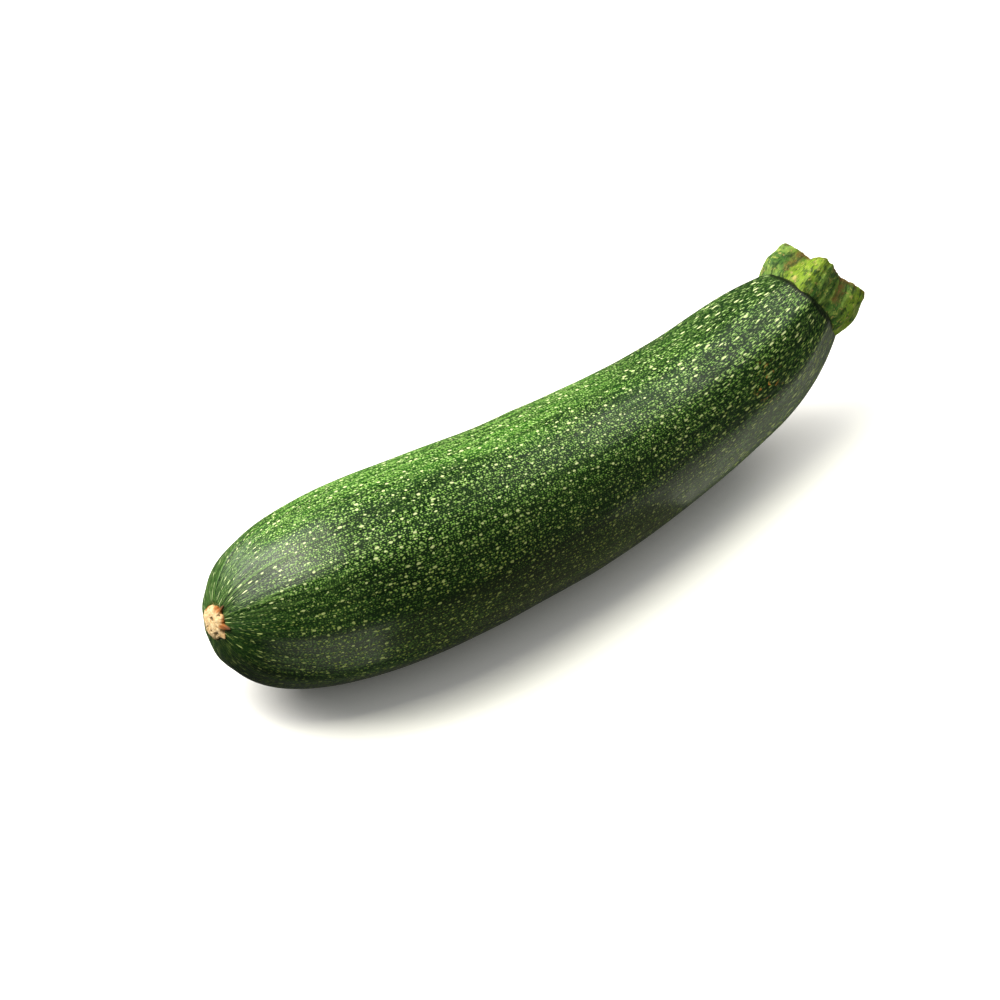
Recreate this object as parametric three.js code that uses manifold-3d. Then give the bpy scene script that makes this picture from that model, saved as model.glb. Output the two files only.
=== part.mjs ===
// A long zucchini lying on its belly: the ribbed fruit, the five-lobed stub of its stem and the corky scar
// that its flower left. Millimetres, +Z up, the blossom end at -X and the stem at +X, with the origin on
// the table under the middle.

import * as THREE from "three";
import { mergeVertices } from "three/addons/utils/BufferGeometryUtils.js";
import Module from "manifold-3d";

const wasm = await Module();
wasm.setup();

// The bow of the fruit: the control points of a cubic curve through its middle, above a table at height zero.
const BOW = [
  [0, 0, 22],
  [67, -30, 36],
  [166, -0.5, 7],
  [214, 0, 38.5],
];

// Over its first stretch the blossom end turns away from that curve, to one side and up.
const NOSE_TURN = { over: 32, by: 8.5, towards: [0, -0.6, 0.8] };

// The half outline of the fruit. "at" is a distance along the middle, and before and after are how far
// the outline's curves keep their direction on either side of that place.
const SEAT = { radius: 5, flat: 3.8, depth: 0.8 };
const NOSE = { swell: 29, rise: 6 };
const BELLY = { at: 104, radius: 25, before: 35, after: 8 };
const NECK = { at: 177, radius: 21, taper: 0.05, before: 16, after: 14 };
const SHOULDER = { at: 213, radius: 13.9, swell: 4.8, before: 12.3 };
const CROWN = { rim: 12.8, rimAt: 3, flat: 7, rise: 3.8 };

// Soft ribs, as shares of the radius: every second one stands higher, and all grow towards the two ends.
const RIBS = { count: 10, turn: 41, middle: 0.009, ends: 0.018, everySecond: 0.4 };

// The stub of the stem: its lean off the fruit, the outline of its lobes, the grooves between them
// and its sloping cut.
const STEM = { sunk: 7, height: 13.6, lobes: 5, turn: 37, lean: { side: -0.22, top: -0.1 } };
const LOBE = { heel: 12.5, foot: 14.8, bulge: 16.6, bulgeAt: 5.5, rim: 14.8, rimRound: 1, dish: 1.8 };
const GROOVE = { foot: 0.22, rim: 0.38 };
const CUT = { rise: 2.2, towards: 195 };

// The corky pad in the seat at the blossom end, with an uneven edge.
const SCAR = { radius: 5.2, flat: 4.2, proud: 0.9, edge: 0.3, root: 1.6 };
const SCAR_WAVES = [{ count: 7, share: 0.05 }, { count: 4, share: 0.04 }];

// The clear gap between neighbouring pieces, and the table that the belly lies on.
const GAP = 0.3;
const TABLE = { length: 400, width: 200, thickness: 40 };

// Facets about each piece, and steps along each stretch of its outline.
const AROUND = 60;
const FRUIT_STEPS = [3, 18, 10, 12, 4];
const STEM_STEPS = [1, 14, 2, 4];
const SCAR_STEPS = [4, 3, 3];

const SKIN = { color: 0x47672f, roughness: 0.35, metalness: 0 };
const DRY_STEM = { color: 0x789545, roughness: 0.7, metalness: 0 };
const CORK = { color: 0xdcb47d, roughness: 0.9, metalness: 0 };

// The curve through the middle of the fruit.
class Spine extends THREE.Curve {
  bow = new THREE.CubicBezierCurve3(...BOW.map((point) => new THREE.Vector3(...point)));
  towards = new THREE.Vector3(...NOSE_TURN.towards);

  getPoint(t, target = new THREE.Vector3()) {
    const reach = t * this.bow.v3.x;
    const turn = Math.max(0, 1 - reach / NOSE_TURN.over) ** 2;
    return this.bow.getPoint(t, target).addScaledVector(this.towards, NOSE_TURN.by * turn);
  }
}

const spine = new Spine();
const spineLength = spine.getLength();
const up = new THREE.Vector3(0, 0, 1);

// The middle of the fruit at a distance from its blossom end, with the directions along, beside and above it.
// Past either end it goes straight on.
function spineFrame(distance) {
  const share = THREE.MathUtils.clamp(distance / spineLength, 0, 1);
  const along = spine.getTangentAt(share);
  const centre = spine.getPointAt(share).addScaledVector(along, distance - share * spineLength);
  const side = new THREE.Vector3().crossVectors(along, up).normalize();
  const top = new THREE.Vector3().crossVectors(side, along);
  return { centre, along, side, top };
}

// Turns an outline of radii and distances about its axis, each stretch cut into its own number of steps.
function turned(outline, steps) {
  const points = [outline.curves[0].getPoint(0)];
  outline.curves.forEach((curve, i) => points.push(...curve.getPoints(steps[i]).slice(1)));
  return new THREE.LatheGeometry(points, AROUND);
}

// Moves every vertex of a geometry to where the given rule puts it.
function reshape(geometry, rule) {
  const position = geometry.attributes.position;
  const point = new THREE.Vector3();
  for (let i = 0; i < position.count; i++) {
    const { x, y, z } = rule(point.fromBufferAttribute(position, i));
    position.setXYZ(i, x, y, z);
  }
  return geometry;
}

// The angle of a turned form's vertex about its axis, in radians from a direction given in degrees.
function angleFrom(point, degrees) {
  return Math.atan2(point.x, point.z) - THREE.MathUtils.degToRad(degrees);
}

// Scales a turned form's vertex towards or away from its axis.
function widen(point, factor) {
  point.x *= factor;
  point.z *= factor;
  return point;
}

// Lays a turned form along the bow of the fruit.
function bend(point) {
  const { centre, side, top } = spineFrame(point.y);
  return centre.addScaledVector(side, point.x).addScaledVector(top, point.z);
}

// The shared vertices of a geometry, with the triangles that a pole has collapsed left out.
function welded(geometry) {
  geometry.deleteAttribute("normal");
  geometry.deleteAttribute("uv");
  const mesh = mergeVertices(geometry);
  const corners = [];
  for (let i = 0; i < mesh.index.count; i += 3) {
    const triangle = [0, 1, 2].map((corner) => mesh.index.getX(i + corner));
    if (new Set(triangle).size === 3) {
      corners.push(...triangle);
    }
  }
  return mesh.setIndex(corners);
}

function solid(geometry) {
  const mesh = welded(geometry);
  const vertProperties = new Float32Array(mesh.attributes.position.array);
  const triVerts = new Uint32Array(mesh.index.array);
  return new wasm.Manifold(new wasm.Mesh({ numProp: 3, vertProperties, triVerts }));
}

function geometryOf(body) {
  const mesh = body.getMesh();
  const geometry = new THREE.BufferGeometry();
  geometry.setAttribute("position", new THREE.BufferAttribute(mesh.vertProperties, 3));
  geometry.setIndex(new THREE.BufferAttribute(mesh.triVerts, 1));
  geometry.computeVertexNormals();
  return geometry;
}

// A copy of a geometry with its surface moved outwards, which cuts its neighbours clear of it.
function grown(geometry, by) {
  const mesh = welded(geometry.clone());
  mesh.computeVertexNormals();
  const position = mesh.attributes.position;
  const point = new THREE.Vector3();
  const normal = new THREE.Vector3();
  for (let i = 0; i < position.count; i++) {
    point.fromBufferAttribute(position, i);
    normal.fromBufferAttribute(mesh.attributes.normal, i);
    point.addScaledVector(normal, by);
    position.setXYZ(i, point.x, point.y, point.z);
  }
  return mesh;
}

function fruitGeometry() {
  const outline = new THREE.Path();
  outline.moveTo(0, SEAT.depth);
  outline.quadraticCurveTo(SEAT.flat, SEAT.depth, SEAT.radius, 0);
  outline.bezierCurveTo(
    SEAT.radius + NOSE.swell, NOSE.rise,
    BELLY.radius, BELLY.at - BELLY.before,
    BELLY.radius, BELLY.at,
  );
  outline.bezierCurveTo(
    BELLY.radius, BELLY.at + BELLY.after,
    NECK.radius + NECK.taper * NECK.before, NECK.at - NECK.before,
    NECK.radius, NECK.at,
  );
  outline.bezierCurveTo(
    NECK.radius - NECK.taper * NECK.after, NECK.at + NECK.after,
    SHOULDER.radius + SHOULDER.swell, SHOULDER.at - SHOULDER.before,
    SHOULDER.radius, SHOULDER.at,
  );
  outline.bezierCurveTo(
    CROWN.rim, SHOULDER.at + CROWN.rimAt,
    CROWN.flat, SHOULDER.at + CROWN.rise,
    0, SHOULDER.at + CROWN.rise,
  );

  return reshape(turned(outline, FRUIT_STEPS), (point) => {
    const angle = angleFrom(point, RIBS.turn);
    const fromMiddle = (2 * point.y) / SHOULDER.at - 1;
    const height = THREE.MathUtils.lerp(RIBS.middle, RIBS.ends, Math.min(1, fromMiddle ** 2));
    const wave = Math.cos(RIBS.count * angle) + RIBS.everySecond * Math.cos((RIBS.count / 2) * angle);
    return bend(widen(point, 1 + height * wave));
  });
}

function stemGeometry() {
  const outline = new THREE.Path();
  outline.moveTo(0, -STEM.sunk);
  outline.lineTo(LOBE.heel, -STEM.sunk);
  outline.splineThru([
    new THREE.Vector2(LOBE.foot, 0),
    new THREE.Vector2(LOBE.bulge, LOBE.bulgeAt),
    new THREE.Vector2(LOBE.rim, STEM.height - LOBE.rimRound),
  ]);
  outline.quadraticCurveTo(LOBE.rim, STEM.height, LOBE.rim - LOBE.rimRound, STEM.height);
  outline.quadraticCurveTo(LOBE.rim / 2, STEM.height - LOBE.dish, 0, STEM.height - LOBE.dish);

  const { centre, along, side, top } = spineFrame(SHOULDER.at);
  const axis = along.addScaledVector(side, STEM.lean.side).addScaledVector(top, STEM.lean.top).normalize();
  const across = new THREE.Vector3().crossVectors(axis, top).normalize();
  const above = new THREE.Vector3().crossVectors(across, axis);

  return reshape(turned(outline, STEM_STEPS), (point) => {
    const angle = angleFrom(point, STEM.turn);
    const share = THREE.MathUtils.clamp(point.y / STEM.height, 0, 1);
    const lobe = Math.cos((STEM.lobes / 2) * angle) ** 2;
    const groove = THREE.MathUtils.lerp(GROOVE.foot, GROOVE.rim, share) * (1 - lobe);
    const slope = (CUT.rise / LOBE.rim) * Math.cos(angleFrom(point, CUT.towards));
    const height = point.y + share * slope * Math.hypot(point.x, point.z);
    widen(point, 1 - groove);
    return centre.clone()
      .addScaledVector(axis, height)
      .addScaledVector(across, point.x)
      .addScaledVector(above, point.z);
  });
}

function scarGeometry() {
  const outline = new THREE.Path();
  outline.moveTo(0, -SCAR.proud);
  outline.quadraticCurveTo(SCAR.flat, -SCAR.proud, SCAR.radius, -SCAR.edge);
  outline.lineTo(SCAR.flat, SEAT.depth);
  outline.lineTo(0, SCAR.root);

  return reshape(turned(outline, SCAR_STEPS), (point) => {
    const angle = angleFrom(point, 0);
    const edge = SCAR_WAVES.reduce((sum, wave) => sum + wave.share * Math.cos(wave.count * angle), 1);
    return bend(widen(point, edge));
  });
}

function piece(name, body, finish) {
  const mesh = new THREE.Mesh(geometryOf(body), new THREE.MeshStandardMaterial(finish));
  mesh.name = name;
  return mesh;
}

// The table that the belly lies flat on takes a thin slice off the fruit, which is its resting spot.
const table = solid(
  new THREE.BoxGeometry(TABLE.length, TABLE.width, TABLE.thickness)
    .translate(spineLength / 2, 0, -TABLE.thickness / 2),
);

const whole = fruitGeometry();
const clearance = solid(grown(whole, GAP));

const zucchini = new THREE.Group();
zucchini.add(
  piece("fruit", solid(whole).subtract(table), SKIN),
  piece("stem", solid(stemGeometry()).subtract(clearance), DRY_STEM),
  piece("blossom_scar", solid(scarGeometry()).subtract(clearance), CORK),
);

const box = new THREE.Box3().setFromObject(zucchini);
const middle = box.getCenter(new THREE.Vector3());
zucchini.position.set(-middle.x, -middle.y, -box.min.z);

export default zucchini;
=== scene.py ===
# Zucchini lying on its belly: speckled fruit, lobed stub of stem, corky blossom scar
import math
from bisect import bisect

import bmesh
import bpy
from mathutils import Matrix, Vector, noise
from mathutils.geometry import interpolate_bezier


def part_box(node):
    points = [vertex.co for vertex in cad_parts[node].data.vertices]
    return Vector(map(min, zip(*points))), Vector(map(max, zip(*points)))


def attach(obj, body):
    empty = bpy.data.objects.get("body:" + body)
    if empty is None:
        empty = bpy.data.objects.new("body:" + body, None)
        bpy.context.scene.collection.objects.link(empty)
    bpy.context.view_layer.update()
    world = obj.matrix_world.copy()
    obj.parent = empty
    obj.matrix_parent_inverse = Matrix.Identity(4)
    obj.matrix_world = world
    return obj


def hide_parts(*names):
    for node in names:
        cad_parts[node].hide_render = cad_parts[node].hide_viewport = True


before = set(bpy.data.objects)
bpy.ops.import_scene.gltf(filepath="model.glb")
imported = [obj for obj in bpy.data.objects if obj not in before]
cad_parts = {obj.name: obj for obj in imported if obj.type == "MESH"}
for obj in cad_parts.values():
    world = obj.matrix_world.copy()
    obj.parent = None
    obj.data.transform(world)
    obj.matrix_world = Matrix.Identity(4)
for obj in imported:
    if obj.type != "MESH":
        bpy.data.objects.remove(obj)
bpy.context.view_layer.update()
print("frame loaded, nodes:", sorted(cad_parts))

scene = bpy.context.scene
mm = 0.001  # the pieces are shaped in millimetres and scaled at the end
up = Vector((0, 0, 1))
onAxis = 1e-3  # a vertex closer to the turning axis than this lies on it
doubles = 1e-4  # vertices closer than this are one


# small helpers for meshes

def smoothStep(low, high, value):
    share = min(max((value - low) / (high - low), 0), 1)
    return share * share * (3 - 2 * share)


def mix(a, b, share):
    return a + (b - a) * share


def curve(points, steps):
    # points: start, two handles, end, each as (radius, height)
    return interpolate_bezier(*[Vector((r, 0, h)) for r, h in points], steps)


def joinCurves(*stretches):
    outline = list(stretches[0])
    for stretch in stretches[1:]:
        outline += stretch[1:]
    return outline


def turnOutline(outline, steps):
    bm = bmesh.new()
    verts = [bm.verts.new(point) for point in outline]
    edges = [bm.edges.new(pair) for pair in zip(verts, verts[1:])]
    bmesh.ops.spin(bm, geom=verts + edges, cent=(0, 0, 0), axis=(0, 0, 1), angle=math.tau,
                   steps=steps, use_merge=True, use_duplicate=False)
    bmesh.ops.remove_doubles(bm, verts=bm.verts, dist=doubles)
    return bm


def around(co, degrees=0):
    # angle about the turning axis, from the top of the fruit towards its front
    return math.atan2(co.x, co.y) - math.radians(degrees)


def nearAngle(angle, places):
    # 1 at the listed angles, falling to 0 beside them
    away = [math.degrees(math.remainder(angle - math.radians(at), math.tau)) / width for at, width in places]
    return max(math.exp(-x * x) for x in away)


def finishPiece(bm, name, node, material):
    bmesh.ops.scale(bm, vec=(mm, mm, mm), verts=bm.verts)
    bmesh.ops.translate(bm, vec=layOffset, verts=bm.verts)
    bmesh.ops.recalc_face_normals(bm, faces=bm.faces)
    for face in bm.faces:
        face.smooth = True
    mesh = bpy.data.meshes.new(name)
    bm.to_mesh(mesh)
    bm.free()
    mesh.materials.append(material)
    piece = bpy.data.objects.new(name, mesh)
    scene.collection.objects.link(piece)
    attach(piece, "root")
    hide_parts(node)
    print(name, "faces:", len(mesh.polygons))


# small helpers for materials

def startMaterial(name):
    material = bpy.data.materials.new(name)
    material.use_nodes = True
    return material, material.node_tree, material.node_tree.nodes["Principled BSDF"]


def add(tree, kind, inputs=None, **settings):
    node = tree.nodes.new("ShaderNode" + kind)
    for key, value in settings.items():
        setattr(node, key, value)
    for key, value in (inputs or {}).items():
        if isinstance(value, bpy.types.NodeSocket):
            tree.links.new(value, node.inputs[key])
        else:
            node.inputs[key].default_value = value
    return node


def attribute(tree, name, output="Vector"):
    return add(tree, "Attribute", attribute_name=name).outputs[output]


def split(tree, vector):
    return add(tree, "SeparateXYZ", {0: vector}).outputs


def calc(tree, operation, a, b=0.0):
    return add(tree, "Math", {0: a, 1: b}, operation=operation).outputs[0]


def times(tree, *shares):
    product = shares[0]
    for share in shares[1:]:
        product = calc(tree, "MULTIPLY", product, share)
    return product


def plus(tree, base, extra, howMuch):
    return calc(tree, "ADD", base, calc(tree, "MULTIPLY", extra, howMuch))


def moved(tree, operation, a, b):
    return add(tree, "VectorMath", {0: a, 1: b}, operation=operation).outputs[0]


def fade(tree, value, low, high, toLow=0.0, toHigh=1.0):
    inputs = {"Value": value, "From Min": low, "From Max": high, "To Min": toLow, "To Max": toHigh}
    return add(tree, "MapRange", inputs, interpolation_type="SMOOTHSTEP").outputs[0]


def fadeOver(tree, place, span, toStart=0.0, toEnd=1.0):
    # span: start and end in millimetres
    return fade(tree, place, span[0] * mm, span[1] * mm, toStart, toEnd)


def fromTo(tree, share, none, full):
    # one value where the share is 0, another where it is 1
    return fade(tree, share, 0, 1, none, full)


def shows(tree, pattern, limits):
    # limits: where the pattern starts to show, where it is full, and how strong it is then
    low, high, strength = limits
    return fade(tree, pattern, low, high, 0, strength)


def paint(tree, share, under, over):
    node = add(tree, "Mix", {0: share}, data_type="RGBA")
    for index, colour in ((6, under), (7, over)):
        if isinstance(colour, bpy.types.NodeSocket):
            tree.links.new(colour, node.inputs[index])
        else:
            node.inputs[index].default_value = (*colour, 1)
    return node.outputs[2]


def clouds(tree, place, size, detail=2.0, rough=0.5):
    inputs = {"Vector": place, "Scale": 1 / (size * mm), "Detail": detail, "Roughness": rough}
    return add(tree, "TexNoise", inputs).outputs["Fac"]


def drawnOut(tree, grain, squeeze, size, detail=2.0, rough=0.5):
    # clouds that are longer along the grain than across it
    squeezed = add(tree, "Mapping", {"Vector": grain, "Scale": (squeeze, 1, 1)}).outputs[0]
    return clouds(tree, squeezed, size, detail, rough)


def bumps(tree, shader, height, strength, depth):
    inputs = {"Height": height, "Strength": strength, "Distance": depth * mm}
    node = add(tree, "Bump", inputs)
    tree.links.new(node.outputs[0], shader.inputs["Normal"])


# the camera stands where the photograph was taken from

photoView = {
    "azimuth": -38.98,
    "elevation": 37.0,
    "distance": 757.6,
    "target": (-21.2, 4.34, 24.5),
    "lens": 100.0,
    "sensor": 36,
}


def makeCamera(view):
    a, e = math.radians(view["azimuth"]), math.radians(view["elevation"])
    back = Vector((math.sin(a) * math.cos(e), -math.cos(a) * math.cos(e), math.sin(e)))
    data = bpy.data.cameras.new("photoCamera")
    data.lens = view["lens"]
    data.sensor_width = view["sensor"]
    camera = bpy.data.objects.new("photoCamera", data)
    camera.location = (Vector(view["target"]) + back * view["distance"]) * mm
    camera.rotation_euler = back.to_track_quat("Z", "Y").to_euler()
    scene.collection.objects.link(camera)
    scene.camera = camera
    print("camera at", [round(x, 3) for x in camera.location])


makeCamera(photoView)


# fruit

fruit = {
    "bow": [(0, 0, 22), (67, -30, 36), (166, -0.5, 7), (214, 0, 38.5)],  # curve through the middle
    "bowSamples": 1200,
    "noseTurn": 8.5,  # how far the blossom end turns off that curve
    "noseTurnOver": 32,
    "noseTowards": (0, -0.6, 0.8),
    # outline, as (radius, distance from the blossom end), and steps along each stretch of it
    "seat": [(0, 0.8), (1.9, 0.8), (3.8, 0.8), (5, 0)],
    "nose": [(5, 0), (34, 6), (25, 69), (25, 104)],
    "belly": [(25, 104), (25, 112), (21.8, 161), (21, 177)],
    "neck": [(21, 177), (20.3, 191), (18.7, 200.7), (13.9, 213)],
    "crown": [(13.9, 213), (12.8, 216), (7, 216.8), (0, 216.8)],
    "outlineSteps": {"seat": 10, "nose": 130, "belly": 80, "neck": 80, "crown": 20},
    "steps": 280,
    "shoulderAt": 213,
    # ribs, as shares of the radius
    "ribs": 10,
    "ribTurn": 41,
    "ribMiddle": 0.0045,
    "ribEnds": 0.018,
    "everySecondRib": 0.4,
    "ribEdge": 0.16,  # how round the ribs' backs are
    "ribSink": 0.67,  # how far the faces between crisp ribs lie in
    # uneven growth
    "dents": 0.16,
    "dentSize": 16,
    "dentRadius": 8,  # they get shallower where the fruit is thinner than this
    "pattern": 25,  # the flecks are laid out on a straight cylinder of this radius
    # how much longer than wide they are, at the blossom end, in the middle and at the neck
    "fleckLength": (1.5, 1.55, 4.0),
    "fleckLengthAt": (5, 45, 110, 200),  # where the first ends, the second starts and ends, the third starts
    "fleckSpare": 8,  # millimetres past the last point of the bow, for the crown
}


def traceBow(shape):
    samples = shape["bowSamples"]
    line = interpolate_bezier(*[Vector(p) for p in shape["bow"]], samples)
    noseTowards = Vector(shape["noseTowards"])
    for i, point in enumerate(line):
        reach = i / (samples - 1) * shape["bow"][3][0]
        point += noseTowards * shape["noseTurn"] * max(0, 1 - reach / shape["noseTurnOver"]) ** 2
    distances = [0.0]
    for a, b in zip(line, line[1:]):
        distances.append(distances[-1] + (b - a).length)
    tangents = [(line[min(i + 1, samples - 1)] - line[max(i - 1, 0)]).normalized() for i in range(samples)]
    return line, distances, tangents


bowLine, bowDistances, bowTangents = traceBow(fruit)
bowCache = {}


def bowFrame(distance):
    # middle of the fruit at a distance from its blossom end, with the directions along, beside and above
    key = round(distance, 4)
    if key not in bowCache:
        i = min(max(bisect(bowDistances, distance) - 1, 0), len(bowLine) - 2)
        share = (distance - bowDistances[i]) / (bowDistances[i + 1] - bowDistances[i])
        along = bowTangents[i].lerp(bowTangents[i + 1], min(max(share, 0), 1)).normalized()
        centre = bowLine[i].lerp(bowLine[i + 1], share)
        side = along.cross(up).normalized()
        bowCache[key] = centre, along, side, side.cross(along)
    return bowCache[key]


def bend(co):
    centre, along, side, top = bowFrame(co.z)
    return centre + side * co.x + top * co.y


def ribWave(shape, angle, crisp):
    # from about -1 to 1: round waves, or crisp ridges with flat faces between them
    half = math.asin(min(1, abs(math.sin(shape["ribs"] / 2 * angle)))) / (math.pi / 2)
    away = math.sqrt(half * half + shape["ribEdge"] ** 2) - shape["ribEdge"]
    ridges = 2 * max(0, 1 - away) ** 2 - shape["ribSink"]
    waves = math.cos(shape["ribs"] * angle)
    return mix(waves, ridges, crisp) + shape["everySecondRib"] * math.cos(shape["ribs"] / 2 * angle)


def fleckRows(shape):
    # for each millimetre along the fruit, the distance along the pattern of flecks
    nose, middle, neck = shape["fleckLength"]
    noseAt, middleFrom, middleTo, neckAt = shape["fleckLengthAt"]
    rows = [0.0]
    for at in range(math.ceil(shape["bow"][3][0]) + shape["fleckSpare"]):
        longer = middle + (nose - middle) * smoothStep(middleFrom, noseAt, at)
        longer += (neck - middle) * smoothStep(middleTo, neckAt, at)
        rows.append(rows[-1] + mm / longer)
    return rows


def unroll(bm, grain, shape):
    # lays the skin out flat, along and around, with its seam under the belly
    flat = bm.loops.layers.uv.new("unrolled")
    rows = fleckRows(shape)
    for face in bm.faces:
        angles = [math.atan2(loop.vert[grain].y, loop.vert[grain].z) for loop in face.loops]
        crossesSeam = max(angles) - min(angles) > math.pi
        for loop, angle in zip(face.loops, angles):
            if crossesSeam and angle < 0:
                angle += math.tau
            row = loop.vert[grain].x / mm
            along = mix(rows[int(row)], rows[int(row) + 1], row % 1)
            loop[flat].uv = (along, angle * shape["pattern"] * mm)


def shapeFruit(shape):
    outline = joinCurves(*[curve(shape[part], steps) for part, steps in shape["outlineSteps"].items()])
    bm = turnOutline(outline, shape["steps"])
    grain = bm.verts.layers.float_vector.new("grain")
    for vert in bm.verts:
        angle = around(vert.co, shape["ribTurn"])
        fromMiddle = 2 * vert.co.z / shape["shoulderAt"] - 1
        ends = min(1, fromMiddle ** 2)
        swell = 1 + mix(shape["ribMiddle"], shape["ribEnds"], ends) * ribWave(shape, angle, ends)
        radius = math.hypot(vert.co.x, vert.co.y)
        spread = shape["pattern"] / radius if radius > onAxis else 0
        straight = Vector((vert.co.z, vert.co.x * spread, vert.co.y * spread))
        vert[grain] = straight * mm
        if radius > onAxis:
            dent = noise.noise(straight / shape["dentSize"])
            swell += shape["dents"] / max(radius, shape["dentRadius"]) * dent
        vert.co = bend(Vector((vert.co.x * swell, vert.co.y * swell, vert.co.z)))
        vert.co.z = max(vert.co.z, 0)  # the flat spot on the belly
    unroll(bm, grain, shape)
    return bm


def boxMiddle(low, high):
    return Vector(((low.x + high.x) / 2, (low.y + high.y) / 2, 0))


fruitMesh = shapeFruit(fruit)
fruitLow = Vector([min(v.co[i] for v in fruitMesh.verts) for i in range(3)]) * mm
fruitHigh = Vector([max(v.co[i] for v in fruitMesh.verts) for i in range(3)]) * mm
# from the place where the pieces are shaped to their place in the frame
layOffset = boxMiddle(*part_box("fruit")) - boxMiddle(fruitLow, fruitHigh)
print("laid by", [round(x / mm, 2) for x in layOffset], "mm")


# places along the skin are in millimetres from the blossom end, places around it in degrees from the top
skin = {
    # cloudy patterns: squeeze along the fruit, size across it, detail
    "patches": (0.5, 14),
    "patchEdges": (0.3, 0.72),
    "streaks": (0.07, 1.6),
    "streakEdges": (0.3, 0.75),
    "lines": (0.05, 0.9, 3.0),
    "rows": (0.035, 1.0),
    "rowEdges": (0.38, 0.56),
    "rowGap": 0.35,  # how much of the finest flecks is left between strong rows
    # ground
    "deepGreen": (0.0035, 0.015, 0.0025),
    "leafGreen": (0.009, 0.038, 0.0045),
    "streakShare": 0.45,  # how much of the change comes from the streaks, the rest from the patches
    "rowShade": 0.55,  # how much darker the ground is between strong rows
    # painted light: paler green on the side facing the back lights, most towards the blossom end
    "backLitGreen": (0.028, 0.135, 0.008),
    "backAt": -58,
    "backEdge": (6, 30),
    "backUneven": 9,
    "backFrom": (3, 24),
    "backAtNose": 0.45,
    "backUntil": (80, 190),
    "backAtNeck": 0.15,
    "backBesideStreaks": 0.25,
    # darker towards the stem, and a painted shadow in the crease close under it
    "neckDeep": (196, 212),
    "neckDeepShare": 0.7,
    "creaseShadowGreen": (0.0015, 0.005, 0.001),
    "creaseShadow": (211.6, 212.9),
    "creaseShadowShare": 0.88,
    # fine bright lines run out from the scar, partly streaks of the skin and partly painted highlight
    # streaks
    "lineEdges": (0.54, 0.62),
    "linesUntil": (10, 45),
    "lineShare": 0.3,
    # flecks from the finest up: share of the cells that have one, and how far they stray from even rows
    "mottle": {"cell": 0.52, "radius": 0.155, "share": 0.92, "scatter": 0.6, "strength": 0.85},
    "flecks": {"cell": 0.98, "radius": 0.185, "share": 0.7, "scatter": 0.7, "strength": 0.9},
    "spots": {"cell": 2.3, "radius": 0.275, "share": 0.62, "scatter": 0.95, "strength": 0.95},
    "fleckSizes": (0.6, 1.35),  # smallest and largest, as shares of the radius
    "fleckEdge": (1.1, 0.7),
    "rowStart": 40,  # how many cells a row may be shifted by
    "wobble": (0.2, 0.12, 0),
    "wobbleSize": 0.7,
    "mottleGreen": (0.24, 0.46, 0.095),
    "fleckGreen": (0.42, 0.61, 0.21),
    "fleckCream": (0.66, 0.75, 0.38),
    "backGrow": 1.3,  # the finest ones are larger where the skin is lighter
    "thickness": (0.35, 6),  # clouds that make the others thicker and thinner
    "thicknessEdges": (0.3, 0.55, 0.8, 1.08),
    "flecksInRows": (0.3, 0.9, 0.5, 1),
    # fainter towards both ends, and a painted shade on the back of the neck that thins the mottle there
    "noseBare": (3, 18),
    "mottleAtNose": 0.45,
    "flecksAtNose": 0.5,
    "neckBare": (209, 215),
    "mottleAtNeck": 0.4,
    "neckBackEdge": (0, 24),
    "neckBackFrom": (140, 190),
    "mottleInNeckBackShade": 0.5,
    # painted shade: duller flecks, and fewer, on the lower side towards the front
    "shadedSideFleck": (0.33, 0.42, 0.09),
    "shadedSideAt": 112,
    "shadedSideEdge": (2, 22),
    "shadedSideLines": 0.3,
    "shadedSideMottle": 0.45,
    "shadedSideSpots": 0.7,
    # a few scratched tan marks on one side of the neck
    "tan": (0.62, 0.30, 0.07),
    "marks": (0.6, 1.5, 3.0),
    "markEdges": (0.57, 0.65),
    "marksAt": (177.7, 22.1, 11.7),  # along, then towards the front and the top
    "marksReach": 9,
    # gloss
    "ior": 1.385,
    "glossClouds": (5, 3.0),
    "glossEdges": (0.3, 0.7, 0.24, 0.32),  # the last two are the roughness
    "lineGloss": (0.35, 0.65, 0.13),
    "lineRelief": 0.9,
    "fleckRelief": 0.3,
    "relief": (0.6, 0.25),
}


def towards(tree, grain, degrees):
    # how far a point of the skin lies towards an angle around the fruit
    turn = math.radians(degrees)
    direction = (0, math.sin(turn), math.cos(turn))
    return add(tree, "VectorMath", {0: grain, 1: direction}, operation="DOT_PRODUCT").outputs["Value"]


def skinPlaces(tree, look):
    # where a point of the skin lies, and the patterns that several layers share
    grain = attribute(tree, "grain")
    along = split(tree, grain)[0]
    patches = fade(tree, drawnOut(tree, grain, *look["patches"]), *look["patchEdges"])
    back = plus(tree, towards(tree, grain, look["backAt"]), patches, look["backUneven"] * mm)
    # painted light: how much of the paler back-lit side a point of the skin gets
    backLit = times(tree, fadeOver(tree, back, look["backEdge"]),
                 fadeOver(tree, along, look["backUntil"], 1, look["backAtNeck"]),
                 fadeOver(tree, along, look["backFrom"], look["backAtNose"], 1))
    return {
        "grain": grain,
        "along": along,
        "back": back,
        "backLit": backLit,
        "shadedSide": fadeOver(tree, towards(tree, grain, look["shadedSideAt"]), look["shadedSideEdge"]),
        "patches": patches,
        "streaks": fade(tree, drawnOut(tree, grain, *look["streaks"]), *look["streakEdges"]),
        "lines": drawnOut(tree, grain, *look["lines"]),
        "rows": fade(tree, drawnOut(tree, grain, *look["rows"]), *look["rowEdges"], look["rowGap"], 1),
    }


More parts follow.
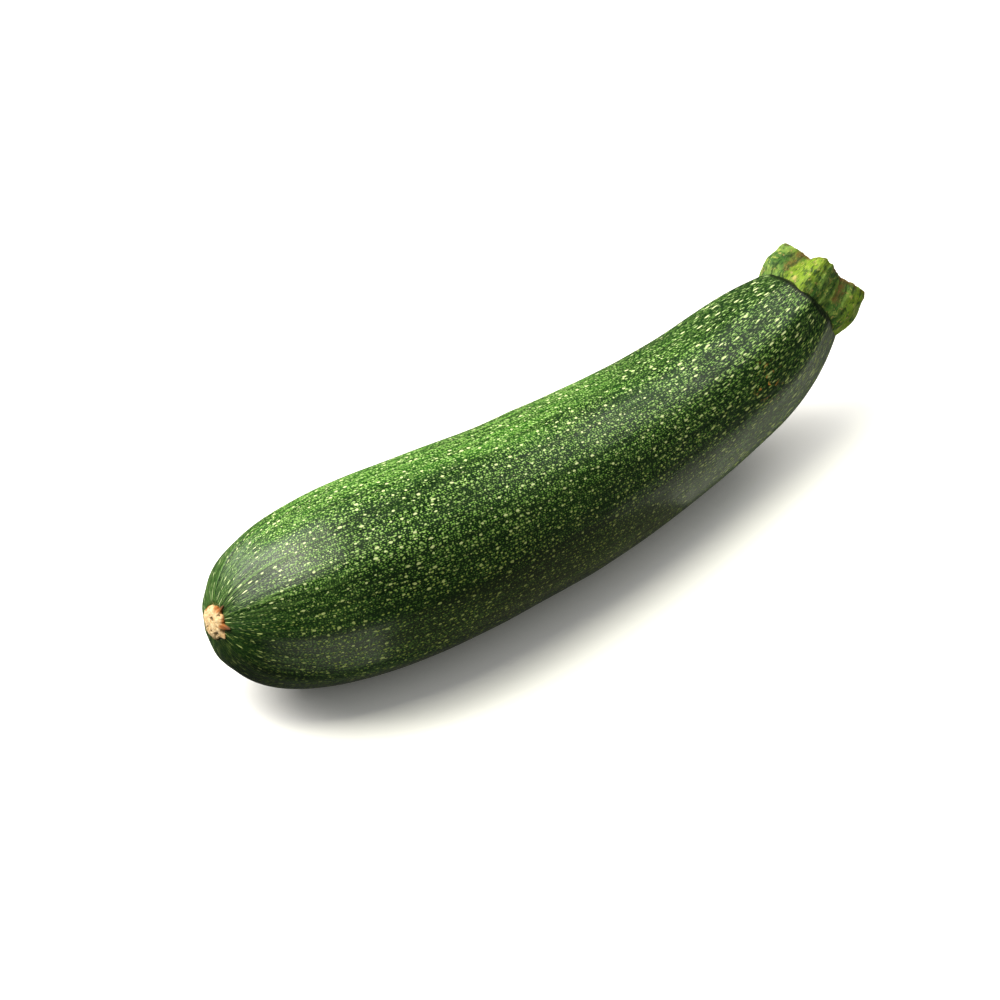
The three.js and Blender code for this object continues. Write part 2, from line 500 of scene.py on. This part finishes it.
def skinGround(tree, look, at):
    streakShare = look["streakShare"]
    uneven = plus(tree, times(tree, at["streaks"], streakShare), at["patches"], 1 - streakShare)
    colour = paint(tree, uneven, look["deepGreen"], look["leafGreen"])
    # painted light: the paler back-lit side, weaker beside the streaks
    backLit = times(tree, at["backLit"], fromTo(tree, at["streaks"], look["backBesideStreaks"], 1))
    colour = paint(tree, backLit, colour, look["backLitGreen"])
    neckDeep = fadeOver(tree, at["along"], look["neckDeep"], 0, look["neckDeepShare"])
    colour = paint(tree, neckDeep, colour, look["deepGreen"])
    # partly painted highlight: lighter lines near the nose stand in for streaks in the gloss
    noseLinesAndGlints = times(tree, fade(tree, at["lines"], *look["lineEdges"]),
                      fadeOver(tree, at["along"], look["linesUntil"], look["lineShare"], 0),
                      fromTo(tree, at["shadedSide"], 1, look["shadedSideLines"]))
    colour = paint(tree, noseLinesAndGlints, colour, look["mottleGreen"])
    gaps = fade(tree, at["rows"], look["rowGap"], 1, look["rowShade"], 0)
    return paint(tree, gaps, colour, look["deepGreen"])


def fleckPlaces(tree, look, at):
    # the unrolled skin, unsettled a little so that the flecks have uneven edges
    flat = add(tree, "UVMap", uv_map="unrolled").outputs[0]
    inputs = {"Vector": at["grain"], "Scale": 1 / (look["wobbleSize"] * mm), "Detail": 1.0}
    wobble = moved(tree, "SUBTRACT", add(tree, "TexNoise", inputs).outputs["Color"], (0.5, 0.5, 0.5))
    wobble = moved(tree, "MULTIPLY", wobble, tuple(x * 2 * mm for x in look["wobble"]))
    return moved(tree, "ADD", flat, wobble)


def inRows(tree, look, place, cell):
    # each row of cells starts at its own place, so that they line up along the fruit but not across it
    along, across = split(tree, place)[:2]
    row = calc(tree, "FLOOR", calc(tree, "DIVIDE", across, cell * mm))
    start = add(tree, "TexWhiteNoise", {"W": row}, noise_dimensions="1D").outputs["Value"]
    along = plus(tree, along, start, look["rowStart"] * cell * mm)
    return add(tree, "CombineXYZ", {0: along, 1: across}).outputs[0]


def fleckLayer(tree, look, place, grow, kind):
    cell, radius = kind["cell"], kind["radius"] / kind["cell"]
    smallest, largest = look["fleckSizes"]
    place = inRows(tree, look, place, cell)
    inputs = {"Vector": place, "Scale": 1 / (cell * mm), "Randomness": kind["scatter"]}
    voronoi = add(tree, "TexVoronoi", inputs, voronoi_dimensions="2D")
    random = add(tree, "SeparateColor", {0: voronoi.outputs["Color"]}).outputs
    reach = times(tree, fromTo(tree, random[1], radius * smallest, radius * largest), grow)
    edge = calc(tree, "DIVIDE", voronoi.outputs["Distance"], reach)
    spot = fade(tree, edge, *look["fleckEdge"])
    return times(tree, spot, calc(tree, "LESS_THAN", random[0], kind["share"]))


def skinFlecks(tree, look, at, colour):
    place = fleckPlaces(tree, look, at)
    along, shadedSide, rows = at["along"], at["shadedSide"], at["rows"]
    # painted shade: less mottle on the back of the neck darkens it against the back lights
    neckBackShade = times(tree, fadeOver(tree, at["back"], look["neckBackEdge"]),
                     fadeOver(tree, along, look["neckBackFrom"]))
    grow = fromTo(tree, at["backLit"], 1, look["backGrow"])
    mottle = times(tree, fleckLayer(tree, look, place, grow, look["mottle"]), rows,
                   fromTo(tree, shadedSide, 1, look["shadedSideMottle"]),
                   fromTo(tree, neckBackShade, 1, look["mottleInNeckBackShade"]),
                   fadeOver(tree, along, look["noseBare"], look["mottleAtNose"], 1),
                   fadeOver(tree, along, look["neckBare"], 1, look["mottleAtNeck"]))
    colour = paint(tree, times(tree, mottle, look["mottle"]["strength"]), colour, look["mottleGreen"])

    thick = fade(tree, drawnOut(tree, at["grain"], *look["thickness"]), *look["thicknessEdges"])
    flecks = times(tree, fleckLayer(tree, look, place, thick, look["flecks"]),
                   fade(tree, rows, *look["flecksInRows"]),
                   fadeOver(tree, along, look["noseBare"], look["flecksAtNose"], 1))
    # painted shade: duller flecks and spots on the lower front side
    fleckColour = paint(tree, shadedSide, look["fleckGreen"], look["shadedSideFleck"])
    colour = paint(tree, times(tree, flecks, look["flecks"]["strength"]), colour, fleckColour)

    spots = fleckLayer(tree, look, place, thick, look["spots"])
    spotColour = paint(tree, times(tree, shadedSide, look["shadedSideSpots"]), look["fleckCream"], look["shadedSideFleck"])
    colour = paint(tree, times(tree, spots, look["spots"]["strength"]), colour, spotColour)
    return colour, flecks


def skinMarksAndCreaseShadow(tree, look, at, colour):
    offset = moved(tree, "SUBTRACT", at["grain"], tuple(x * mm for x in look["marksAt"]))
    distance = add(tree, "VectorMath", {0: offset}, operation="LENGTH").outputs["Value"]
    near = fadeOver(tree, distance, (look["marksReach"], 0))
    marks = fade(tree, drawnOut(tree, at["grain"], *look["marks"]), *look["markEdges"])
    colour = paint(tree, times(tree, near, marks), colour, look["tan"])
    # painted shadow: a near-black ring in the crease under the stem's foot
    creaseShadow = fadeOver(tree, at["along"], look["creaseShadow"], 0, look["creaseShadowShare"])
    return paint(tree, creaseShadow, colour, look["creaseShadowGreen"])


def makeSkin(look):
    material, tree, shader = startMaterial("speckledSkin")
    at = skinPlaces(tree, look)
    colour, flecks = skinFlecks(tree, look, at, skinGround(tree, look, at))
    tree.links.new(skinMarksAndCreaseShadow(tree, look, at, colour), shader.inputs["Base Color"])
    rough = fade(tree, clouds(tree, at["grain"], *look["glossClouds"]), *look["glossEdges"])
    rough = calc(tree, "ADD", rough, shows(tree, at["lines"], look["lineGloss"]))
    tree.links.new(rough, shader.inputs["Roughness"])
    shader.inputs["IOR"].default_value = look["ior"]
    relief = plus(tree, times(tree, at["lines"], look["lineRelief"]), flecks, look["fleckRelief"])
    bumps(tree, shader, relief, *look["relief"])
    return material


finishPiece(fruitMesh, "speckledFruit", "fruit", makeSkin(skin))


# stem

stem = {
    "sunk": 7,
    "height": 13.9,
    "lobes": 5,
    "turn": 36.7,
    "leanSide": -0.17,
    "leanTop": -0.056,
    # outline of the lobes' backs: heel, foot, bulge and rim, as (radius, height)
    "heel": (12.5, -7),
    "foot": (14.6, -0.9),
    "bulge": (16.4, 4.1),
    "rim": (15.4, 12.9),
    "rimRound": 1.0,
    "rimHandles": (0.3, 0.4),
    "dish": 1.8,
    "dishHandles": [(0.7, 0.6), (0.35, 1)],  # shares of the rim's radius and of the dish's depth
    "outlineSteps": (20, 6, 24),  # each stretch of the backs, the edge of the rim, the dish
    "steps": 220,
    "grooveFoot": 0.2,
    "grooveRim": 0.355,
    "grooveWidth": [2.3, 2.2, 2.4, 2.0, 1.7],  # higher is narrower, groove by groove
    "shiftAt": [(0, 38)],  # the front lobe sits closer to its neighbour
    "shift": 8.7,
    "slimAt": [(0, 30, 0.1), (72, 30, 0.04)],  # smaller lobes: angle, width, share of the radius
    "cutRise": 2.2,
    "cutTowards": 191,
    # unevenness: size, how fine it is round the stem and how fast it changes along it
    "fibres": {"size": 0.36, "count": 9, "climb": 0.07, "fineCount": 17, "fineSize": 0.5},
    "knobs": {"size": 0.5, "count": 2.6, "climb": 0.16, "seed": (3, 5, 0)},
    "lumps": {"size": 0.5, "count": 6, "climb": 0.4, "seed": (1, 8, 0)},
    "ragged": {"size": 0.5, "count": 4, "seed": (7, 1, 2), "fineCount": 11, "fineSize": 0.25, "from": 0.6},
    "outside": (0.35, 0.8),  # it grows between these shares of the rim's radius
    "calmFrom": 0.6,  # knobs and lumps fade from this share of the height up to the rim
    # the cut face: how far in from the rim its colour starts and is full, and its own fine roughness
    "cutFace": {"edge": (0.2, 1.6), "slack": 0.01, "rough": 0.18, "size": 0.9, "seed": 4, "from": 0.8},
    "grainRadius": 14,  # the patterns are laid out on a straight cylinder of at most this radius
    # colours round the stem: angle from the front lobe and width
    "yellowAt": [(-26, 24), (74, 20), (134, 20), (222, 22)],
    "brownAt": [(-50, 9), (37, 10), (104, 8), (178, 9), (252, 9)],
    "brownFrom": (0.05, 0.4),
    "strawAt": [(-31, 7), (150, 8), (262, 7)],
    "strawHeight": (0.16, 0.11),
}


def spline(points, steps):
    # smooth line through points, each stretch as a Bezier with its handles along the chord of its neighbours
    places = [Vector((r, 0, h)) for r, h in points]
    ends = [places[0]] + places + [places[-1]]
    line = [places[0]]
    for a, b, c, d in zip(ends, ends[1:], ends[2:], ends[3:]):
        line += interpolate_bezier(b, b + (c - a) / 6, c - (d - b) / 6, c, steps)[1:]
    return line


def ringNoise(ring, count, seed=(0, 0, 0), rise=0.0):
    return noise.noise(ring * count + Vector(seed) + up * rise)


def stemOutline(shape):
    rim, top, dish = shape["rim"][0], shape["height"], shape["dish"]
    backSteps, edgeSteps, dishSteps = shape["outlineSteps"]
    edgeIn = rim - shape["rimRound"]
    down, inwards = shape["rimHandles"]
    handles = [(rim * out, top - dish * deep) for out, deep in shape["dishHandles"]]
    backs = spline([shape["heel"], shape["foot"], shape["bulge"], shape["rim"]], backSteps)
    edge = curve([shape["rim"], (rim, top - down), (rim - inwards, top), (edgeIn, top)], edgeSteps)
    face = curve([(edgeIn, top), *handles, (0, top - dish)], dishSteps)
    start = [Vector((0, 0, -shape["sunk"]))]
    return joinCurves(start + backs[:1], backs, edge, face)


def stemAxes(shape):
    # foot of the stem, and the directions along it, across it and above it
    centre, along, side, above = bowFrame(fruit["shoulderAt"])
    axis = (along + side * shape["leanSide"] + above * shape["leanTop"]).normalized()
    across = axis.cross(above).normalized()
    return centre, axis, across, across.cross(axis)


def stemSpot(shape, co):
    # where a vertex of the plain outline lies on the stem
    radius = math.hypot(co.x, co.y)
    angle = around(co, shape["turn"]) % math.tau
    return {
        "radius": radius,
        "angle": angle,
        "ring": Vector((math.cos(angle), math.sin(angle), 0)),
        "share": min(max(co.z / shape["height"], 0), 1),
        "outside": smoothStep(*shape["outside"], radius / shape["rim"][0]),
    }


def stemSwell(shape, co, at):
    # how wide the stem is at a place, against its plain outline
    angle, ring, share = at["angle"], at["ring"], at["share"]
    groove = int(angle / (math.tau / shape["lobes"])) % shape["lobes"]
    turned = angle + math.radians(shape["shift"]) * nearAngle(angle, shape["shiftAt"])
    valley = abs(math.sin(shape["lobes"] / 2 * turned)) ** shape["grooveWidth"][groove]
    swell = 1 - mix(shape["grooveFoot"], shape["grooveRim"], share) * valley
    swell -= sum(slim * nearAngle(angle, [(middle, width)]) for middle, width, slim in shape["slimAt"])
    if at["radius"] <= onAxis:
        return swell
    fibres, knobs, lumps = shape["fibres"], shape["knobs"], shape["lumps"]
    fibre = ringNoise(ring, fibres["count"], rise=co.z * fibres["climb"])
    fibre += fibres["fineSize"] * ringNoise(ring, fibres["fineCount"])
    knob = ringNoise(ring, knobs["count"], knobs["seed"], co.z * knobs["climb"])
    lump = ringNoise(ring, lumps["count"], lumps["seed"], co.z * lumps["climb"])
    calm = smoothStep(1, shape["calmFrom"], share)
    uneven = fibres["size"] * fibre + (knobs["size"] * knob + lumps["size"] * lump) * calm
    return swell + at["outside"] * uneven / at["radius"]


def stemHeight(shape, co, at):
    # the cut slopes, its rim is ragged and its face is a little rough
    ragged, face, share = shape["ragged"], shape["cutFace"], at["share"]
    slope = shape["cutRise"] / shape["rim"][0] * math.cos(around(co, shape["cutTowards"]))
    torn = ragged["size"] * ringNoise(at["ring"], ragged["count"], ragged["seed"])
    torn += ragged["fineSize"] * ringNoise(at["ring"], ragged["fineCount"])
    torn *= smoothStep(ragged["from"], 1, share) * at["outside"]
    height = co.z + share * (slope * at["radius"] + torn)
    if share > face["from"]:
        height += face["rough"] * noise.noise(Vector((co.x, co.y, face["seed"])) * face["size"])
    return height


def stemTones(shape, angle, share):
    # how yellow, brown and straw-coloured a place of the stem is
    strawMiddle, strawWidth = shape["strawHeight"]
    yellow = nearAngle(angle, shape["yellowAt"])
    brown = nearAngle(angle, shape["brownAt"]) * smoothStep(*shape["brownFrom"], share)
    straw = nearAngle(angle, shape["strawAt"]) * math.exp(-((share - strawMiddle) / strawWidth) ** 2)
    return yellow, brown, straw


def shapeStem(shape):
    rim = shape["rim"][0]
    faceFrom = shape["height"] - shape["dish"] - shape["cutFace"]["slack"]
    edgeOut, edgeIn = shape["cutFace"]["edge"]
    bm = turnOutline(stemOutline(shape), shape["steps"])
    centre, axis, across, above = stemAxes(shape)
    place = bm.verts.layers.float_vector.new("stemPlace")
    tone = bm.verts.layers.float_vector.new("stemTone")
    straight = bm.verts.layers.float_vector.new("grain")
    for vert in bm.verts:
        co = vert.co.copy()
        at = stemSpot(shape, co)
        radius, ring, share = at["radius"], at["ring"], at["share"]
        cut = smoothStep(rim - edgeOut, rim - edgeIn, radius) if co.z > faceFrom else 0
        vert[place] = (share, cut, radius / rim)
        vert[tone] = stemTones(shape, at["angle"], share)
        spread = min(radius, shape["grainRadius"])
        vert[straight] = Vector((co.z, ring.x * spread, ring.y * spread)) * mm
        swell = stemSwell(shape, co, at)
        vert.co = centre + axis * stemHeight(shape, co, at) + (across * co.x + above * co.y) * swell
    return bm


stemLook = {
    "green": (0.048, 0.135, 0.016),
    "olive": (0.16, 0.265, 0.045),
    "yellowGreen": (0.18, 0.285, 0.016),
    "darkGreen": (0.014, 0.046, 0.008),
    "paleGreen": (0.42, 0.47, 0.10),
    "straw": (0.46, 0.38, 0.11),
    "brown": (0.13, 0.062, 0.014),
    "pith": (0.52, 0.50, 0.26),
    # cloudy patterns: squeeze along the stem, size across it, detail, roughness
    "blotches": (0.7, 3.2, 3.0),
    "fibres": (0.22, 0.65, 4.0, 0.65),
    "specks": (0.6, 1.0, 2.0, 0.6),
    "flakes": (0.5, 1.5, 4.0, 0.65),
    # where each colour shows in its pattern: from, to, strength
    "oliveShows": (0.4, 0.6, 1),
    "yellowShows": (0.72, 1.3, 1),
    "darkFibres": (0.48, 0.62, 0.85),
    "darkFlakes": (0.46, 0.36, 0.75),
    "paleFlakes": (0.56, 0.68, 0.6),
    "strawSpecks": (0.6, 0.68, 0.6),
    "strawShows": (1.3, 2.1, 0.9),
    "brownShows": (1.15, 2.0, 1),
    "brownInFibres": (0.62, 0.4, 0.3, 0.95),
    "dryRim": (0.86, 1.0, 0.85),
    "dryRimPatches": (0.62, 0.42, 1),
    "pithFibres": (0.42, 0.66, 0.7),
    "pithGreener": (0.85, 1.2, 0.8),
    "pithDried": (0.58, 0.72, 0.7),
    # how much the patterns unsettle the edges of the colours
    "yellowUneven": 1.1,
    "strawUneven": 1.8,
    "brownUneven": 1.6,
    "pithUneven": 0.5,
    "roughness": (0.3, 0.7, 0.5, 0.72),  # the last two are the roughness
    "specular": 0.25,
    "relief": (0.7, 0.7),
}


def makeStemFinish(look):
    material, tree, shader = startMaterial("dryStem")
    grain = attribute(tree, "grain")
    share, cut, out = split(tree, attribute(tree, "stemPlace"))
    yellow, brown, straw = split(tree, attribute(tree, "stemTone"))
    blotches = drawnOut(tree, grain, *look["blotches"])
    fibres = drawnOut(tree, grain, *look["fibres"])
    specks = drawnOut(tree, grain, *look["specks"])
    flakes = drawnOut(tree, grain, *look["flakes"])

    colour = paint(tree, shows(tree, blotches, look["oliveShows"]), look["green"], look["olive"])
    yellow = plus(tree, yellow, blotches, look["yellowUneven"])
    straw = plus(tree, straw, specks, look["strawUneven"])
    for pattern, limits, tint in (
        (yellow, "yellowShows", "yellowGreen"),
        (fibres, "darkFibres", "darkGreen"),
        (flakes, "darkFlakes", "darkGreen"),
        (flakes, "paleFlakes", "paleGreen"),
        (specks, "strawSpecks", "straw"),
        (straw, "strawShows", "straw"),
    ):
        colour = paint(tree, shows(tree, pattern, look[limits]), colour, look[tint])
    # brown beside the grooves and along the dried rim
    brown = shows(tree, plus(tree, brown, specks, look["brownUneven"]), look["brownShows"])
    brown = times(tree, brown, fade(tree, fibres, *look["brownInFibres"]))
    colour = paint(tree, brown, colour, look["brown"])
    dryRim = times(tree, shows(tree, share, look["dryRim"]), shows(tree, blotches, look["dryRimPatches"]))
    colour = paint(tree, dryRim, colour, look["brown"])
    # the cut face: pale pith, greener towards the rim, with dried patches
    pith = paint(tree, shows(tree, fibres, look["pithFibres"]), look["pith"], look["yellowGreen"])
    greener = plus(tree, out, blotches, look["pithUneven"])
    pith = paint(tree, shows(tree, greener, look["pithGreener"]), pith, look["olive"])
    pith = paint(tree, shows(tree, flakes, look["pithDried"]), pith, look["brown"])
    tree.links.new(paint(tree, cut, colour, pith), shader.inputs["Base Color"])

    tree.links.new(fade(tree, blotches, *look["roughness"]), shader.inputs["Roughness"])
    shader.inputs["Specular IOR Level"].default_value = look["specular"]
    bumps(tree, shader, calc(tree, "ADD", fibres, flakes), *look["relief"])
    return material


finishPiece(shapeStem(stem), "stemStub", "stem", makeStemFinish(stemLook))


# blossom scar

scar = {
    "radius": 4.7,
    "flat": 4.0,
    "proud": 1.5,
    "edge": 0.3,
    "faceHandle": 2,
    "under": 0.8,  # how deep the sunk side starts, and how deep its middle is
    "root": 1.6,
    "faceSteps": 34,
    "steps": 200,
    # uneven edge: waves as count, share of the radius and phase, and finer noise
    "waves": [(1, 0.04, -2.4), (2, 0.07, -2.6), (7, 0.03, 0), (4, 0.03, 0), (13, 0.02, 1.3)],
    "edgeNoise": 0.06,
    "edgeNoiseCount": 7,
    # dried bits round the edge: angle, reach, width
    "tabs": [(20, 2.2, 5), (40, 0.4, 6), (74, 2.4, 5), (104, 0.9, 7), (222, 0.3, 9),
             (262, 0.3, 8), (335, 0.3, 7)],
    "tabDrop": 0.22,  # they bend back onto the skin
    "tabDropFrom": 0.7,
    "tabFrom": 0.75,
    # crumbs and pits of the face
    "faceUntil": 0.4,  # what lies deeper is the sunk side
    "crumbs": 0.15,
    "crumbSize": 0.9,
    "crumbDetail": (0.9, 2.1, 4),
    "pits": 0.5,
    "pitsAt": [(35, 0.84, 0.45), (90, 0.96, 0.7), (122, 0.98, 0.45), (293, 0.93, 0.55), (205, 0.45, 0.35),
               (155, 0.5, 0.4)],  # angle, share of the radius, size
    "pitFloor": 0.4,  # share of a pit's size
    "smallPits": {"scale": 0.5, "seed": (4, 9, 1), "edges": (0.3, 0.55), "within": (1.0, 0.75)},
    # rust towards the edge, more at some angles and on the tabs
    "rustAt": [(8, 34), (66, 30), (300, 26)],
    "rust": 0.3,
    "rustLess": 0.24,
    "tabRust": 0.12,
    "tabRustFrom": 0.6,
}


def pitDepth(shape, spot, share):
    # from 0 on the face to 1 in a pit
    small = shape["smallPits"]
    wave = noise.noise(spot * small["scale"] + Vector(small["seed"]))
    depth = smoothStep(*small["edges"], wave) * smoothStep(*small["within"], share)
    for at, out, size in shape["pitsAt"]:
        turn = math.radians(at)
        centre = Vector((math.sin(turn), math.cos(turn), 0)) * out * shape["radius"]
        depth = max(depth, smoothStep(size, size * shape["pitFloor"], (spot - centre).length))
    return depth


def shapeScar(shape):
    level = -shape["proud"]
    face = curve([(0, level), (shape["faceHandle"], level), (shape["flat"], level),
                  (shape["radius"], -shape["edge"])], shape["faceSteps"])
    under = [Vector((shape["flat"], 0, shape["under"])), Vector((0, 0, shape["root"]))]
    bm = turnOutline(face + under, shape["steps"])
    place = bm.verts.layers.float_vector.new("scarPlace")
    hollow = bm.verts.layers.float.new("shadedPit")
    for vert in bm.verts:
        co = vert.co.copy()
        angle = around(co)
        share = math.hypot(co.x, co.y) / shape["radius"]
        ring = Vector((math.cos(angle), math.sin(angle), 0))
        edge = 1 + sum(size * math.cos(count * angle + phase) for count, size, phase in shape["waves"])
        edge += shape["edgeNoise"] * ringNoise(ring, shape["edgeNoiseCount"])
        tab = max(reach * nearAngle(angle, [(at, width)]) for at, reach, width in shape["tabs"])
        spot = Vector((co.x, co.y, 0))
        shadedPit = pitDepth(shape, spot, share)
        if co.z < shape["faceUntil"]:
            co.z += shape["crumbs"] * noise.fractal(spot * shape["crumbSize"], *shape["crumbDetail"])
            co.z += shape["pits"] * shadedPit + shape["tabDrop"] * tab * smoothStep(shape["tabDropFrom"], 1, share)
        reach = mix(1, edge, share) + tab / shape["radius"] * smoothStep(shape["tabFrom"], 1, share)
        rust = shape["rust"] * nearAngle(angle, shape["rustAt"]) - shape["rustLess"]
        rust += shape["tabRust"] * tab * smoothStep(shape["tabRustFrom"], 1, share)
        vert[place] = (co.x * mm, co.y * mm, share + rust)
        vert[hollow] = shadedPit
        vert.co = bend(Vector((co.x * reach, co.y * reach, co.z)))
    return bm


scarLook = {
    "cream": (0.74, 0.55, 0.31),
    "tan": (0.57, 0.35, 0.14),
    "rust": (0.34, 0.11, 0.014),
    "bark": (0.10, 0.033, 0.008),
    "shadedPit": (0.05, 0.022, 0.008),
    # cloudy patterns: size, detail, roughness
    "crumbs": (1.1, 4.0, 0.65),
    "patches": (2.2, 3.0),
    # where each colour shows in its pattern: from, to, strength
    "creamShows": (0.34, 0.56, 1),
    "rustShows": (1.14, 1.4, 1),
    "barkShows": (1.34, 1.6, 1),
    "shadedPitShows": (0.62, 0.42, 0.9),
    "rustUneven": 0.8,
    "roughness": 0.85,
    "relief": (0.6, 0.3),
}


def makeCork(look):
    material, tree, shader = startMaterial("blossomCork")
    x, y, outwards = split(tree, attribute(tree, "scarPlace"))
    flat = add(tree, "CombineXYZ", {0: x, 1: y}).outputs[0]
    crumbs = clouds(tree, flat, *look["crumbs"])
    patches = clouds(tree, flat, *look["patches"])
    colour = paint(tree, shows(tree, crumbs, look["creamShows"]), look["tan"], look["cream"])
    ragged = plus(tree, outwards, patches, look["rustUneven"])
    colour = paint(tree, shows(tree, ragged, look["rustShows"]), colour, look["rust"])
    colour = paint(tree, shows(tree, ragged, look["barkShows"]), colour, look["bark"])
    # painted shade: the pits and the hollow under a tab are darkened
    pitShade = times(tree, attribute(tree, "shadedPit", "Fac"), shows(tree, crumbs, look["shadedPitShows"]))
    colour = paint(tree, pitShade, colour, look["shadedPit"])
    tree.links.new(colour, shader.inputs["Base Color"])
    shader.inputs["Roughness"].default_value = look["roughness"]
    bumps(tree, shader, crumbs, *look["relief"])
    return material


finishPiece(shapeScar(scar), "blossomPad", "blossom_scar", makeCork(scarLook))


# studio: pale floor, a soft light overhead, two wide ones from behind, a weak one in front
# and small cards close to the fruit

studio = {
    "floorSize": 6.0,
    "floorColour": (0.80, 0.80, 0.785),
    "floorRoughness": 0.7,
    "floorGlow": 0.55,  # keeps the shadow light, less so close to the fruit
    "glowReach": 0.09,
    "glowSamples": 8,
    "skyColour": (1.0, 0.98, 0.94),
    "skyStrength": 0.065,
    "lightColour": (1.0, 0.97, 0.91),
    # lights: place, size across and deep, watts; one that isn't turned faces the origin
    "lights": {
        "overhead": {"at": (-0.30, 0.14, 1.05), "size": (0.5, 0.32), "watts": 7.6,
                     "colour": (1.0, 0.99, 0.82)},
        "behindLeft": {"at": (-0.60, 0.80, 0.98), "size": (1.2, 1.2), "watts": 40.0},
        "behindRight": {"at": (1.10, 0.50, 0.75), "size": (0.7, 0.7), "watts": 12.5, "mirrored": False},
        "neckCard": {"at": (0.175, 0.01, 0.202), "size": (0.10, 0.09), "watts": 0.075},
        "lowNoseCard": {"at": (-0.14, -0.078, 0.002), "size": (0.13, 0.075), "watts": 0.042,
                        "turned": (180, 0, 7), "colour": (0.96, 1.0, 0.76)},
        "lowMiddleCard": {"at": (-0.018, -0.063, 0.002), "size": (0.115, 0.075), "watts": 0.004,
                          "turned": (180, 0, 7), "colour": (1.0, 0.97, 0.55)},
        "frontFill": {"at": (0.12, -0.36, 0.07), "size": (0.2, 0.1), "watts": 0.12, "mirrored": False,
                      "colour": (1.0, 0.97, 0.62)},
        "lowNeckFringe": {"at": (0.156, -0.095, 0.002), "size": (0.22, 0.03), "watts": 0.0085,
                          "turned": (180, 0, 7), "colour": (0.96, 1.0, 0.76)},
        "lowNeckCard": {"at": (0.15, -0.043, 0.002), "size": (0.22, 0.075), "watts": 0.046,
                        "turned": (180, 0, 7), "colour": (0.96, 1.0, 0.76)},
    },
}


def makeFloor(look):
    bm = bmesh.new()
    bmesh.ops.create_grid(bm, x_segments=1, y_segments=1, size=look["floorSize"] / 2)
    mesh = bpy.data.meshes.new("floor")
    bm.to_mesh(mesh)
    bm.free()
    material, tree, shader = startMaterial("paleFloor")
    shader.inputs["Base Color"].default_value = (*look["floorColour"], 1)
    shader.inputs["Roughness"].default_value = look["floorRoughness"]
    shader.inputs["Emission Color"].default_value = (*look["floorColour"], 1)
    openness = add(tree, "AmbientOcclusion", {"Distance": look["glowReach"]}, samples=look["glowSamples"])
    glow = times(tree, openness.outputs["AO"], look["floorGlow"])
    tree.links.new(glow, shader.inputs["Emission Strength"])
    mesh.materials.append(material)
    floor = bpy.data.objects.new("floor", mesh)
    scene.collection.objects.link(floor)
    floor.visible_diffuse = False  # its bounce and its mirror image would wash out the shaded side
    floor.visible_glossy = False


def makeSoftLight(name, light):
    data = bpy.data.lights.new(name, "AREA")
    data.shape = "RECTANGLE"
    data.size, data.size_y = light["size"]
    data.energy = light["watts"]
    data.color = light.get("colour", studio["lightColour"])
    lamp = bpy.data.objects.new(name, data)
    lamp.location = light["at"]
    if "turned" in light:
        lamp.rotation_euler = [math.radians(x) for x in light["turned"]]
    else:
        lamp.rotation_euler = Vector(light["at"]).to_track_quat("Z", "Y").to_euler()
    lamp.visible_glossy = light.get("mirrored", True)
    lamp.visible_camera = False
    scene.collection.objects.link(lamp)


def makeSky(look):
    world = bpy.data.worlds.new("studioSky")
    world.use_nodes = True
    background = world.node_tree.nodes["Background"]
    background.inputs[0].default_value = (*look["skyColour"], 1)
    background.inputs[1].default_value = look["skyStrength"]
    scene.world = world


makeFloor(studio)
for lightName, light in studio["lights"].items():
    makeSoftLight(lightName, light)
makeSky(studio)
scene.view_settings.view_transform = "Standard"
print("studio ready")
